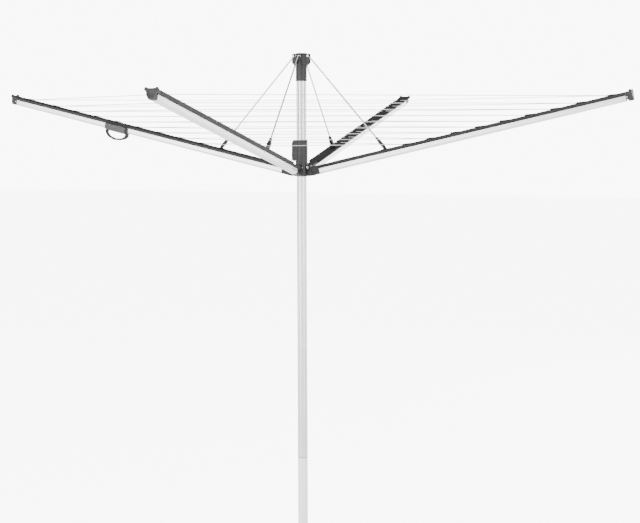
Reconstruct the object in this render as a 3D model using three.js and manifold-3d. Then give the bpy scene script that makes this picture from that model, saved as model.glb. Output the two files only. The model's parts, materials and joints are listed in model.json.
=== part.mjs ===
// Rotary clothesline: a fluted mast turns in a ground tube, a hub slides on the mast, and four arms
// carry the lines. Millimetres, +Z up. The origin is the middle of the foot plug's flat bottom face.
import * as THREE from 'three';
import { mergeVertices } from 'three/addons/utils/BufferGeometryUtils.js';
import Module from 'manifold-3d';

const wasm = await Module();
wasm.setup();

// ---------------------------------------------------------------- driving dimensions
const GAP = 0.3; // clearance kept between neighbouring pieces
const DEG = Math.PI / 180;
const FACETS = 32; // facets of a turned surface
const FEW_FACETS = 12; // facets of a small pin or rod
const ARC_STEPS = 7; // steps in an outline's arc or curve

const REACH = 1294; // mast axis to the outermost edge of an end cap
const ELEVATION = 12.9 * DEG; // rise of an open arm
const JOINT_Z = 401; // where the mast stands on the ground tube
const HINGE_R = 29; // mast axis to an arm's hinge pin
const HINGE_Z = 1547; // height of the hinge pins with the arms open
const CROWN_PIVOT_R = 30; // mast axis to a strut's upper pivot
const CROWN_PIVOT_Z = 1978.5;
const CROWN_TOP = 1990;
const CROWN_LOW = 1940;
const SLEEVE_LOW = 1881;

const MAST_R = 19.5;
const TUBE_BORE = 16.5;
const FLUTES = 8;
const FLUTE_DEPTH = 1.3;
const MAST_TOP = 1975;

const COLLAR_R = 23.6;
const COLLAR_LOW = 1512;
const COLLAR_HIGH = 1653.5;
const LUG_HALF = 7.6; // half thickness of a hub lug
const PIN_R = 3;
const PIN_HEAD_R = 5;
const PIN_HEAD_Y = 13.8; // where a hinge pin's heads start, from the arm's middle
const CHEEK_R = 6.2; // round ends of an arm root's two cheeks, which turn past the collar

const CHANNEL_HALF = 14; // half width of an arm's aluminium channel
const CHANNEL_LOW = -35; // its underside, from the hinge pin's level, square to the arm
const CHANNEL_HIGH = -14.3;
const CHANNEL_BEND = -28; // its sides slant inwards below here
const CHANNEL_SLANT = 5;
const WALL = 2;
const TONGUE_HALF = 9; // half width of the tongues pushed into the channel's ends
const COVER_HALF = 15.5; // half width of the cover over the channel
const COVER_TOP = -1;
const WING_HALF = 26; // the cover flares out to this half width below its top
const WING_START = 112; // clear of the hub's latch when the arms are folded
const ARM_START = 46.3; // hinge pin to the inner ends of channel and cover, along the arm
const ARM_END = 1264;
const CAP_HALF = 27;
const CAP_LOW = -36;
const HORN_TOP = 6;

const LINES = 9;
const FIRST_OUTLET = 395; // along the arm from the hinge pin
const LINE_PITCH = 97.7; // outlet spacing along the arm
const LAST_OUTLET = 1197; // the outermost line stands off from the others
const LINE_R = 1.5;
const LINE_FACETS = 6;
const HOOD_HEIGHT = 5;
const HOOD_LENGTH = 46;

const FOOT_ALONG = 322; // strut's lower pivot, along the arm from the hinge pin
const FOOT_UP = 6; // and above the hinge pin's level, square to the arm
const ROD_R = 3;
const FOOT_PIN_R = 2.5;

const GRIP_FROM = 750; // pull handle's plate, along the arm
const GRIP_TO = 842;
const GRIP_WALL = 2.7;

const DIRECTIONS = { right: 0, back: 90, left: 180, front: 270 };

// ---------------------------------------------------------------- solids
function toSolid(geometry) {
  const plain = geometry.clone();
  plain.deleteAttribute('normal');
  plain.deleteAttribute('uv');
  const merged = mergeVertices(plain, 1e-4);
  const corners = merged.index.array;
  const triVerts = [];
  for (let i = 0; i < corners.length; i += 3) {
    const [a, b, c] = corners.slice(i, i + 3);
    if (a !== b && b !== c && c !== a) {
      triVerts.push(a, b, c);
    }
  }
  const vertProperties = new Float32Array(merged.attributes.position.array);
  const mesh = new wasm.Mesh({ numProp: 3, vertProperties, triVerts: new Uint32Array(triVerts) });
  return new wasm.Manifold(mesh);
}

function toGeometry(solid) {
  const { vertProperties, triVerts } = solid.getMesh();
  const geometry = new THREE.BufferGeometry();
  geometry.setAttribute('position', new THREE.BufferAttribute(vertProperties, 3));
  geometry.setIndex(new THREE.BufferAttribute(triVerts, 1));
  geometry.computeVertexNormals();
  return geometry;
}

const joined = (solids) => solids.reduce((sum, solid) => sum.add(solid));
const cut = (solid, tools) => tools.reduce((left, tool) => left.subtract(tool), solid);

function extruded(shape, depth, matrix, curveSegments) {
  const geometry = new THREE.ExtrudeGeometry(shape, { depth, bevelEnabled: false, curveSegments });
  geometry.applyMatrix4(matrix);
  return toSolid(geometry);
}

// An outline in (x, y) raised from z0 to z1.
function alongZ(shape, z0, z1) {
  return extruded(shape, z1 - z0, new THREE.Matrix4().makeTranslation(0, 0, z0), FACETS / 2);
}

// An outline in (y, z) drawn from x0 to x1.
function alongX(shape, x0, x1) {
  const turn = new THREE.Matrix4().makeBasis(
    new THREE.Vector3(0, 1, 0),
    new THREE.Vector3(0, 0, 1),
    new THREE.Vector3(1, 0, 0),
  );
  return extruded(shape, x1 - x0, turn.setPosition(x0, 0, 0), ARC_STEPS);
}

// An outline in (x, z) drawn from y0 to y1.
function alongY(shape, y0, y1) {
  const turn = new THREE.Matrix4().makeBasis(
    new THREE.Vector3(1, 0, 0),
    new THREE.Vector3(0, 0, 1),
    new THREE.Vector3(0, -1, 0),
  );
  return extruded(shape, y1 - y0, turn.setPosition(0, y1, 0), ARC_STEPS);
}

function box(x0, x1, y0, y1, z0, z1) {
  const geometry = new THREE.BoxGeometry(x1 - x0, y1 - y0, z1 - z0);
  geometry.translate((x0 + x1) / 2, (y0 + y1) / 2, (z0 + z1) / 2);
  return toSolid(geometry);
}

// A turned solid about Z. The outline's points are (radius, z), running anticlockwise.
function turned(points, facets = FACETS) {
  const outline = points.map(([r, z]) => new THREE.Vector2(r, z));
  outline.push(outline[0].clone());
  const geometry = new THREE.LatheGeometry(outline, facets);
  geometry.rotateX(Math.PI / 2);
  return toSolid(geometry);
}

function ring(inner, outer, z0, z1) {
  return turned([[inner, z0], [outer, z0], [outer, z1], [inner, z1]]);
}

// A round bar from one point to another.
function bar(from, to, radius, facets = FEW_FACETS) {
  const start = new THREE.Vector3(...from);
  const end = new THREE.Vector3(...to);
  const way = end.clone().sub(start);
  const geometry = new THREE.CylinderGeometry(radius, radius, way.length(), facets);
  const turn = new THREE.Quaternion().setFromUnitVectors(new THREE.Vector3(0, 1, 0), way.normalize());
  geometry.applyQuaternion(turn);
  geometry.translate(...start.add(end).multiplyScalar(0.5).toArray());
  return toSolid(geometry);
}

const crossBar = (x, z, radius, half) => bar([x, -half, z], [x, half, z], radius);

function polygon(points) {
  return new THREE.Shape(points.map(([a, b]) => new THREE.Vector2(a, b)));
}

// ---------------------------------------------------------------- materials
function finish(color, roughness, metalness) {
  return { color, roughness, metalness };
}

const FINISHES = {
  mast_aluminium: finish(0xcfd1d3, 0.35, 0.9),
  arm_aluminium: finish(0xdcdedf, 0.38, 0.9),
  ground_tube: finish(0xe9eaea, 0.5, 0.2),
  hub_plastic: finish(0x68696b, 0.5, 0),
  cover_plastic: finish(0x4b4c4e, 0.55, 0),
  dark_plastic: finish(0x3a3b3d, 0.5, 0),
  steel: finish(0xc8cacc, 0.25, 1),
  bush_plastic: finish(0xd8d8d4, 0.4, 0),
  line_cord: finish(0xf2f2f0, 0.6, 0),
};

function piece(parent, name, finishName, solid) {
  const mesh = new THREE.Mesh(toGeometry(solid), new THREE.MeshStandardMaterial(FINISHES[finishName]));
  mesh.name = name;
  parent.add(mesh);
  return mesh;
}

// ---------------------------------------------------------------- ground tube
// The tube's outline has flat lands, with shallow grooves halfway between the arms and their diagonals.
function fluted() {
  const points = [];
  for (let i = 0; i < FLUTES; i += 1) {
    const land = (i * 360) / FLUTES;
    for (const offset of [-17, -6, 6, 17]) {
      points.push([land + offset, MAST_R]);
    }
    points.push([land + 180 / FLUTES, MAST_R - FLUTE_DEPTH]);
  }
  const shape = polygon(points.map(([a, r]) => [r * Math.cos(a * DEG), r * Math.sin(a * DEG)]));
  shape.holes.push(new THREE.Path().absarc(0, 0, TUBE_BORE, 0, 2 * Math.PI, true));
  return shape;
}

const SEAT_R = TUBE_BORE - 0.4; // whatever is pushed into a tube
const FLANGE = 0.6; // half thickness of the bush's flange between the two tubes
const PAD_Z = 180;

function groundParts(parent) {
  const low = JOINT_Z - FLANGE;
  const seat = SEAT_R;
  const bore = 14.4;
  piece(parent, 'ground_tube', 'ground_tube', alongZ(fluted(), 4 + GAP, low - GAP));
  piece(parent, 'foot_plug', 'dark_plastic', turned([
    [0, 0], [17.5, 0], [MAST_R, 2], [MAST_R, 4], [seat, 4], [seat, 30], [seat - 2, 34], [0, 34],
  ]));
  piece(parent, 'ground_bush', 'dark_plastic', turned([
    [bore, low - 60], [seat, low - 60], [seat, low], [18, low],
    [18, low + 2 * FLANGE], [bore, low + 2 * FLANGE],
  ]));
  piece(parent, 'thrust_pad', 'bush_plastic', turned([
    [0, PAD_Z], [seat, PAD_Z], [seat, PAD_Z + 20], [bore, PAD_Z + 20], [bore, PAD_Z + 10], [0, PAD_Z + 10],
  ]));
}

// ---------------------------------------------------------------- mast and crown
function mastParts(parent) {
  const foot = JOINT_Z + FLANGE + GAP;
  piece(parent, 'mast_tube', 'mast_aluminium', alongZ(fluted(), foot, MAST_TOP));
  const tip = PAD_Z + 10 + GAP;
  const shoulder = foot + 0.2;
  const top = foot + 67;
  piece(parent, 'mast_spigot', 'steel', turned([
    [0, tip], [12.5, tip], [14, tip + 1.7], [14, shoulder], [SEAT_R, shoulder], [SEAT_R, top], [0, top],
  ]));
}

// One crown wing: two ears with a shelf that the strut's cross bar drops into from above and outside.
function crownEars() {
  const shelf = CROWN_PIVOT_Z - PIN_R - GAP;
  const inner = CROWN_PIVOT_R - PIN_R - GAP;
  const lip = CROWN_PIVOT_R + PIN_R + 1.2;
  const outer = lip + 1.8;
  const root = MAST_R + 1;
  const low = CROWN_LOW + 2;
  const top = CROWN_TOP - 3.5;
  const ear = polygon([
    [root, low], [root + 6.5, low], [outer, low + 15], [outer, CROWN_PIVOT_Z - 2], [lip, CROWN_PIVOT_Z - 2],
    [lip, CROWN_PIVOT_Z - 2.2], [lip - 0.8, shelf], [inner, shelf], [inner, top], [root, top],
  ]);
  return [alongY(ear, 5.5, 9), alongY(ear, -9, -5.5)];
}

function aroundMast(solids) {
  return Object.values(DIRECTIONS).flatMap((turn) => solids.map((solid) => solid.rotate([0, 0, turn])));
}

function crownParts(parent) {
  const bore = MAST_R + GAP + 0.1;
  piece(parent, 'crown_sleeve', 'hub_plastic', ring(bore, 21.6, SLEEVE_LOW, CROWN_LOW - GAP));
  const body = ring(bore, 22.4, CROWN_LOW, CROWN_TOP - 6);
  piece(parent, 'crown_head', 'hub_plastic', joined([body, ...aroundMast(crownEars())]));
  const low = CROWN_TOP - 6 + GAP;
  const tip = CROWN_TOP - 40;
  const rim = MAST_R + 0.7;
  piece(parent, 'crown_cap', 'dark_plastic', turned([
    [0, tip], [SEAT_R - 1.5, tip], [SEAT_R, tip + 2], [SEAT_R, low], [rim, low],
    [rim, CROWN_TOP - 2], [rim - 1.7, CROWN_TOP], [0, CROWN_TOP],
  ]));
}

// ---------------------------------------------------------------- hub
// A lug stands between the two cheeks of an arm root and carries its hinge pin.
function hubLug() {
  const root = COLLAR_R - 1.8;
  const nose = 7.5;
  const low = HINGE_Z - 29;
  const lug = new THREE.Shape();
  lug.moveTo(root, low);
  lug.lineTo(HINGE_R, low);
  lug.lineTo(HINGE_R + nose, HINGE_Z - 10);
  lug.lineTo(HINGE_R + nose, HINGE_Z);
  lug.absarc(HINGE_R, HINGE_Z, nose, 0, Math.PI / 2, false);
  lug.lineTo(root, HINGE_Z + nose);
  return alongY(lug, -LUG_HALF, LUG_HALF);
}

function hubParts(parent) {
  const bore = 21.2;
  const lugs = joined([ring(bore, COLLAR_R, COLLAR_LOW, COLLAR_HIGH), ...aroundMast([hubLug()])]);
  const holes = aroundMast([crossBar(HINGE_R, HINGE_Z, PIN_R + GAP, LUG_HALF + 1)]);
  piece(parent, 'hub_body', 'hub_plastic', cut(lugs, holes));
  const liner = [MAST_R + 0.4, bore - GAP];
  piece(parent, 'hub_bush_upper', 'bush_plastic', ring(...liner, COLLAR_HIGH - 27, COLLAR_HIGH - 1));
  piece(parent, 'hub_bush_lower', 'bush_plastic', ring(...liner, COLLAR_LOW + 1, COLLAR_LOW + 27));
  const tip = PIN_HEAD_Y + 1.5;
  for (const [name, turn] of Object.entries(DIRECTIONS)) {
    const pin = joined([
      crossBar(HINGE_R, HINGE_Z, PIN_R, tip),
      bar([HINGE_R, PIN_HEAD_Y, HINGE_Z], [HINGE_R, tip, HINGE_Z], PIN_HEAD_R),
      bar([HINGE_R, -tip, HINGE_Z], [HINGE_R, -PIN_HEAD_Y, HINGE_Z], PIN_HEAD_R),
    ]);
    piece(parent, `hinge_pin_${name}`, 'steel', pin).rotation.z = turn * DEG;
  }
}

// The latch stands on the diagonal between the left and front arms, which fold up past its two sides.
const LATCH_Z = HINGE_Z + 46.5;
const LATCH_TURN = 225 * DEG;
const LATCH_FACE = 38.8;
const BUTTON_R = 5;

function latchParts(parent) {
  const back = COLLAR_R + GAP;
  const face = LATCH_FACE;
  const low = LATCH_Z - 21.5;
  const high = COLLAR_HIGH - 1;
  const side = polygon([
    [MAST_R, low], [face - 3, low], [face, low + 6], [face, high - 8], [face - 6, high], [MAST_R, high],
  ]);
  const housing = cut(alongY(side, -8, 8), [
    turned([[0, low - 5], [back, low - 5], [back, high + 5], [0, high + 5]]),
    box(0, face - 2.5, -5.6, 5.6, LATCH_Z - 16, LATCH_Z + 16),
    bar([MAST_R, 0, LATCH_Z], [face + 5, 0, LATCH_Z], BUTTON_R + 0.4, FEW_FACETS),
  ]);
  piece(parent, 'latch_housing', 'hub_plastic', housing).rotation.z = LATCH_TURN;
  const skirt = face - 5;
  const button = joined([
    bar([skirt, 0, LATCH_Z], [face + 2.2, 0, LATCH_Z], BUTTON_R),
    bar([back + 4.4, 0, LATCH_Z], [skirt + 1, 0, LATCH_Z], 2.2),
  ]);
  piece(parent, 'release_button', 'dark_plastic', button).rotation.z = LATCH_TURN;
  piece(parent, 'button_spring', 'steel', buttonSpring(back + 0.4, skirt - 0.4)).rotation.z = LATCH_TURN;
}

// An open coil around the button's stem.
class Helix extends THREE.Curve {
  constructor(from, to, radius, turns) {
    super();
    Object.assign(this, { from, to, radius, turns });
  }

  getPoint(t, target = new THREE.Vector3()) {
    const angle = 2 * Math.PI * this.turns * t;
    const along = this.from + (this.to - this.from) * t;
    return target.set(along, this.radius * Math.cos(angle), LATCH_Z + this.radius * Math.sin(angle));
  }
}

function buttonSpring(from, to) {
  const wire = 0.45;
  const turns = 4;
  const path = new Helix(from + wire, to - wire, 3.5, turns);
  const section = new THREE.Shape().absarc(0, 0, wire, 0, 2 * Math.PI, false);
  const settings = { steps: turns * 10, curveSegments: 3, extrudePath: path };
  return toSolid(new THREE.ExtrudeGeometry(section, settings));
}

// ---------------------------------------------------------------- arms
// Everything here is in the arm's own frame: the hinge pin at the origin, X out along the arm.
function armRoot() {
  const cheek = new THREE.Shape();
  cheek.moveTo(ARM_START - GAP, CHANNEL_LOW);
  cheek.lineTo(ARM_START - GAP, COVER_TOP);
  cheek.lineTo(10, COVER_TOP);
  cheek.absarc(0, 0, CHEEK_R, 40 * DEG, 180 * DEG, false);
  cheek.lineTo(-CHEEK_R, CHANNEL_LOW + 4);
  cheek.lineTo(4 - CHEEK_R, CHANNEL_LOW);
  const block = alongY(cheek, -CHANNEL_HALF, CHANNEL_HALF);
  const slot = LUG_HALF + 0.4;
  const side = PIN_HEAD_Y - 0.4; // the cheeks are thinner under the pin heads
  return cut(block.add(tongue(ARM_START - 1, ARM_START + 45)), [
    box(-20, 12, -slot, slot, -60, 20),
    crossBar(0, 0, PIN_R + GAP, 20),
    box(-20, 9, -20, -side, -60, 20),
    box(-20, 9, side, 20, -60, 20),
  ]);
}

// What is pushed into an end of the channel, between its floor and the open top.
function tongue(from, to) {
  return box(from, to, -TONGUE_HALF, TONGUE_HALF, CHANNEL_BEND + 1, CHANNEL_HIGH - 1);
}

function armChannel() {
  const half = [
    [CHANNEL_HALF - CHANNEL_SLANT, CHANNEL_LOW], [CHANNEL_HALF, CHANNEL_BEND], [CHANNEL_HALF, CHANNEL_HIGH],
    [CHANNEL_HALF - WALL, CHANNEL_HIGH], [CHANNEL_HALF - WALL, CHANNEL_BEND + 0.6],
    [CHANNEL_HALF - CHANNEL_SLANT - 1.1, CHANNEL_LOW + WALL],
  ];
  const mirrored = half.map(([y, z]) => [-y, z]).reverse();
  return alongX(polygon([...half, ...mirrored]), ARM_START, ARM_END);
}

const OUTLETS = Array.from({ length: LINES - 1 }, (_, k) => FIRST_OUTLET + k * LINE_PITCH);
OUTLETS.push(LAST_OUTLET);

// The cover's top carries a wedge-shaped hood outside each outlet. Its inside is open towards the channel.
function armCover() {
  const low = CHANNEL_HIGH + GAP;
  const top = [[ARM_END, COVER_TOP], [ARM_END, low], [ARM_START, low], [ARM_START, COVER_TOP]];
  for (const x of OUTLETS) {
    const hood = x + LINE_R + 0.6;
    top.push([hood, COVER_TOP], [hood, COVER_TOP + HOOD_HEIGHT], [hood + HOOD_LENGTH, COVER_TOP]);
  }
  const flared = coverSection(low, [[COVER_HALF, COVER_TOP], [COVER_HALF - 3, COVER_TOP + HOOD_HEIGHT + 1]]);
  const body = alongY(polygon(top.reverse()), -40, 40).intersect(alongX(flared, 0, ARM_END + 50));
  const room = box(0, ARM_END + 50, -COVER_HALF + 2.5, COVER_HALF - 2.5, low - 5, COVER_TOP - 2.2);
  const slots = OUTLETS.map((x) => box(x - 2.2, x + 2, -2.2, 2.2, low - 5, COVER_TOP + 0.1));
  const besideHub = [-1, 1].map((side) => {
    const edges = [side * COVER_HALF, side * 40].sort((a, b) => a - b);
    return box(0, WING_START, ...edges, low - 5, 10);
  });
  return cut(body, [room, ...slots, ...besideHub]);
}

// The cover's outline across the arm: upright at the foot, then flaring out to the wings.
function coverSection(low, crest) {
  const half = [
    [COVER_HALF, low], [COVER_HALF, low + 2], [WING_HALF, COVER_TOP - 3.5],
    [WING_HALF - 2, COVER_TOP], ...crest,
  ];
  return polygon([...half, ...half.map(([y, z]) => [-y, z]).reverse()]);
}

// A shield-shaped cap square to the arm. Two horns stand up at its outer end, with a wing below each.
function endCap() {
  const face = (REACH - HINGE_R + CAP_LOW * Math.sin(ELEVATION)) / Math.cos(ELEVATION);
  const inner = ARM_END + GAP;
  const side = polygon([
    [inner, CHANNEL_HIGH], [inner + 8, CAP_LOW], [face, CAP_LOW], [face, COVER_TOP], [inner, COVER_TOP],
  ]);
  const flank = CAP_HALF - 10.5;
  const lower = [[flank, -22], [8, CAP_LOW], [-8, CAP_LOW], [-flank, -22]];
  const narrow = polygon([
    ...lower, [-flank, -12], [-WING_HALF, COVER_TOP - 3.5], [2 - WING_HALF, COVER_TOP],
    [WING_HALF - 2, COVER_TOP], [WING_HALF, COVER_TOP - 3.5], [flank, -12],
  ]);
  const wings = polygon([
    ...lower, [-flank - 1, -12], [-CAP_HALF, -4], [6 - CAP_HALF, HORN_TOP], [-10, 1], [0, COVER_TOP],
    [10, 1], [CAP_HALF - 6, HORN_TOP], [CAP_HALF, -4], [flank + 1, -12],
  ]);
  const body = alongY(side, -40, 40).intersect(alongX(narrow, inner - 10, face + 10));
  return joined([body, alongX(wings, face - 10, face), tongue(ARM_END - 25, inner + 2)]);
}

function footBracket() {
  const plate = box(FOOT_ALONG - 14, FOOT_ALONG + 14, -11, 11, COVER_TOP + GAP, COVER_TOP + 2);
  const lug = new THREE.Shape();
  lug.moveTo(FOOT_ALONG - 8, COVER_TOP + GAP);
  lug.lineTo(FOOT_ALONG + 8, COVER_TOP + GAP);
  lug.lineTo(FOOT_ALONG + 5, FOOT_UP);
  lug.absarc(FOOT_ALONG, FOOT_UP, 5, 0, Math.PI, false);
  const hole = crossBar(FOOT_ALONG, FOOT_UP, FOOT_PIN_R + GAP, 10);
  return plate.add(alongY(lug, -3, 3)).subtract(hole);
}

const CARRIAGE_TOP = -6.5;

// The lines of one side leave this arm's outlets for the next arm. Under the cover they hang on one
// carriage bar that draws them in as the arms fold.
function lineSet() {
  const up = COVER_TOP + GAP + LINE_R;
  const back = new THREE.Matrix4().makeRotationY(ELEVATION);
  const pieces = OUTLETS.map((x) => {
    const r = HINGE_R + x * Math.cos(ELEVATION) - up * Math.sin(ELEVATION);
    const z = x * Math.sin(ELEVATION) + up * Math.cos(ELEVATION);
    const stop = 4.5; // how far short of the next arm's middle the line ends
    const far = new THREE.Vector3(stop - HINGE_R, r - stop, z).applyMatrix4(back);
    const near = new THREE.Vector3(r - HINGE_R, 0, z).applyMatrix4(back);
    const line = bar(near.toArray(), far.toArray(), LINE_R, LINE_FACETS);
    const drop = box(x - 1.2, x + 1.2, -1.2, 1.2, CARRIAGE_TOP - 1.5, up + 0.4);
    return line.add(drop);
  });
  const low = CARRIAGE_TOP - 3.5;
  return joined([box(FIRST_OUTLET - 10, LAST_OUTLET + 10, -3, 3, low, CARRIAGE_TOP), ...pieces]);
}

function armParts(name, parent) {
  piece(parent, `arm_root_${name}`, 'dark_plastic', armRoot());
  piece(parent, `arm_channel_${name}`, 'arm_aluminium', armChannel());
  piece(parent, `arm_cover_${name}`, 'cover_plastic', armCover());
  piece(parent, `end_cap_${name}`, 'hub_plastic', endCap());
  piece(parent, `foot_bracket_${name}`, 'cover_plastic', footBracket());
  piece(parent, `foot_pin_${name}`, 'dark_plastic', crossBar(FOOT_ALONG, FOOT_UP, FOOT_PIN_R, 8.4));
  piece(parent, `line_set_${name}`, 'line_cord', lineSet());
}

// ---------------------------------------------------------------- struts
// In the strut's own frame the lower pivot is the origin and Z runs up to the crown pivot.
const footX = HINGE_R + FOOT_ALONG * Math.cos(ELEVATION) - FOOT_UP * Math.sin(ELEVATION);
const footZ = HINGE_Z + FOOT_ALONG * Math.sin(ELEVATION) + FOOT_UP * Math.cos(ELEVATION);
const STRUT_LENGTH = Math.hypot(footX - CROWN_PIVOT_R, CROWN_PIVOT_Z - footZ);
const STRUT_LEAN = Math.atan2(CROWN_PIVOT_R - footX, CROWN_PIVOT_Z - footZ);
const SOCKET_Z = 30;

function strutFork() {
  const side = new THREE.Shape();
  side.absarc(0, 0, 4.6, Math.PI, 2 * Math.PI, false);
  side.lineTo(5.4, 24);
  side.lineTo(4.4, 50);
  side.lineTo(-4.4, 50);
  side.lineTo(-5.4, 24);
  const fork = alongY(side, -7.4, 7.4);
  return cut(fork, [
    box(-10, 10, -3.4, 3.4, -10, 12),
    bar([0, 0, SOCKET_Z], [0, 0, 60], ROD_R + GAP),
    crossBar(0, 0, FOOT_PIN_R + GAP, 10),
  ]);
}

// The rod's top carries a cross bar with a round head on each end.
function strutRod() {
  const rod = bar([0, 0, SOCKET_Z + GAP], [0, 0, STRUT_LENGTH], ROD_R);
  const head = (y) => bar([0, y, STRUT_LENGTH], [0, y + 1.6, STRUT_LENGTH], 5);
  return joined([rod, crossBar(0, STRUT_LENGTH, PIN_R, 10), head(9.4), head(-11)]);
}

// ---------------------------------------------------------------- pull handle
// A U-shaped saddle around the channel, as a shell from x0 to x1.
function saddle(x0, x1) {
  const inner = CHANNEL_HALF + GAP;
  const outer = inner + GRIP_WALL;
  const floor = CHANNEL_LOW - GAP;
  const high = CHANNEL_HIGH - GAP;
  const half = [[outer - 3, floor - GRIP_WALL], [outer, CHANNEL_BEND], [outer, high], [inner, high]];
  half.push([inner, CHANNEL_BEND], [inner - CHANNEL_SLANT, floor]);
  const mirrored = half.map(([y, z]) => [-y, z]).reverse();
  return alongX(polygon([...half, ...mirrored]), x0, x1);
}

// A flat loop that bellies out below the plate. Its inner end carries a saddle of its own.
function gripLoop() {
  const top = CHANNEL_LOW - 2 * GAP - GRIP_WALL;
  const outline = (points) => {
    const curve = new THREE.SplineCurve(points.map(([a, b]) => new THREE.Vector2(GRIP_FROM + a, top - b)));
    return new THREE.Shape([...curve.getPoints(3 * (points.length - 1))]);
  };
  const outside = outline([
    [-14, 0], [-14, 11], [-3.5, 23], [16, 31.5], [45, 37], [73, 29], [88, 18], [91, 8], [91, 0],
  ]);
  const hole = outline([
    [0, 2.6], [-0.5, 10], [11.5, 22], [40, 29], [65, 24.5], [79, 14], [80, 8], [75, 2.6],
  ]);
  const inner = GRIP_FROM - 14;
  const clip = saddle(inner, GRIP_FROM - GAP);
  const bridge = box(inner, GRIP_FROM - GAP, -5, 5, top - 2, top + 1.5);
  return joined([alongY(outside, -5, 5).subtract(alongY(hole, -6, 6)), clip, bridge]);
}

// ---------------------------------------------------------------- assembly
const clothesline = new THREE.Group();
groundParts(clothesline);
mastParts(clothesline);
crownParts(clothesline);
hubParts(clothesline);
latchParts(clothesline);

for (const [name, turn] of Object.entries(DIRECTIONS)) {
  const side = new THREE.Group();
  side.rotation.z = turn * DEG;
  clothesline.add(side);

  const arm = new THREE.Group();
  arm.position.set(HINGE_R, 0, HINGE_Z);
  arm.rotation.y = -ELEVATION;
  side.add(arm);
  armParts(name, arm);
  if (name === 'left') {
    piece(arm, 'handle_base', 'dark_plastic', saddle(GRIP_FROM, GRIP_TO));
    piece(arm, 'handle_loop', 'dark_plastic', gripLoop());
  }

  const strut = new THREE.Group();
  strut.position.set(footX, 0, footZ);
  strut.rotation.y = STRUT_LEAN;
  side.add(strut);
  piece(strut, `strut_fork_${name}`, 'dark_plastic', strutFork());
  piece(strut, `strut_rod_${name}`, 'steel', strutRod());
}

export default clothesline;
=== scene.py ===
"""Rotary clothesline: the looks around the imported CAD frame. Metres, +Z up."""
import json
import math

import bmesh
import bpy
from mathutils import Matrix, Vector


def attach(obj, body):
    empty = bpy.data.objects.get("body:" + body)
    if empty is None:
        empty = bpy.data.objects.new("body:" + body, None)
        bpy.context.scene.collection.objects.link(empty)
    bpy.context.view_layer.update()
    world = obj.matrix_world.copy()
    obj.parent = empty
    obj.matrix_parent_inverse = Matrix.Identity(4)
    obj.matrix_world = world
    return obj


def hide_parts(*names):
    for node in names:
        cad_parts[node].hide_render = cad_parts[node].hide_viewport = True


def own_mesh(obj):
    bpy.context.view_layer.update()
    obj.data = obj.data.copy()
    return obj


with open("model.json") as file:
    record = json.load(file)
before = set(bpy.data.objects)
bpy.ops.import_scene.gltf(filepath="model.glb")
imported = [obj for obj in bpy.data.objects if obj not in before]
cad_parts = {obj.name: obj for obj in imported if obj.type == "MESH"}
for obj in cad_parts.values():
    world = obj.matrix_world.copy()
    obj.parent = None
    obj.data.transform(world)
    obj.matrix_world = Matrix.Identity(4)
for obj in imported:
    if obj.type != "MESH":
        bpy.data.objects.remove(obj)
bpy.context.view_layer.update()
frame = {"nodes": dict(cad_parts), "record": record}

# ------------------------------------------------------------------ driving sizes, in millimetres
MM = 0.001
GAP = 0.3  # clearance kept between neighbouring pieces
DIRECTIONS = {"right": 0, "back": 90, "left": 180, "front": 270}
REACH = 1294
ELEVATION = math.radians(12.9)
JOINT_Z = 401
HINGE_R, HINGE_Z = 29, 1547
PIN_R, LUG_HALF = 3, 7.6  # hinge pins and cross bars, and half the thickness of a hub lug
CROWN_PIVOT_R, CROWN_PIVOT_Z, CROWN_TOP = 30, 1978.5, 1990
CROWN_LOW, SLEEVE_LOW = 1940, 1881
MAST_R, TUBE_BORE, MAST_TOP = 19.5, 16.5, 1975
FLUTES, FLUTE_DEPTH = 8, 1.3
COLLAR_R, COLLAR_LOW, COLLAR_HIGH = 23.6, 1512, 1653.5
CHANNEL_HALF, CHANNEL_LOW, CHANNEL_BEND, CHANNEL_HIGH = 14, -35, -28, -14.3
COVER_HALF, COVER_TOP, WING_HALF, WING_START = 15.5, -1, 26, 112
CHANNEL_SLANT = 5
TONGUE_HALF = 9  # half width of what is pushed into the channel's ends
CAP_LOW = -36
ARM_START, ARM_END = 46.3, 1264
FACE = (REACH - HINGE_R + CAP_LOW * math.sin(ELEVATION)) / math.cos(ELEVATION)
HORN_TOP = 6
FIRST_OUTLET, LINE_PITCH, LAST_OUTLET = 395, 97.7, 1197  # along the arm from the hinge pin
OUTLETS = [FIRST_OUTLET + LINE_PITCH * k for k in range(8)] + [LAST_OUTLET]
LINE_DIAMETER = 2.4
LINE_UP = 1.6  # height of a line above the hinge pin's level, square to the arm
LINE_SIDE = 8.5  # where a line comes out of its hood, from the arm's middle
FOOT_ALONG, FOOT_UP = 322, 6
FOOT_PIN_R, ROD_R, SOCKET_Z = 2.5, 3, 30
GRIP_FROM, GRIP_TO = 750, 842
LATCH_Z = HINGE_Z + 46.5
LATCH_FACE = 38.8
LATCH_TURN = 225
SPRING_R, WIRE_R = 3.5, 0.45

# ------------------------------------------------------------------ camera
# The camera stands at eye level, a little to the right of the front arm.
CAMERA_AZIMUTH = 21.765
CAMERA_AWAY = 6.533
CAMERA_HEIGHT = 1.7407
CAMERA_YAW, CAMERA_PITCH, CAMERA_ROLL = -0.617, 4.926, -0.174
LENS = 94.07


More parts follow.
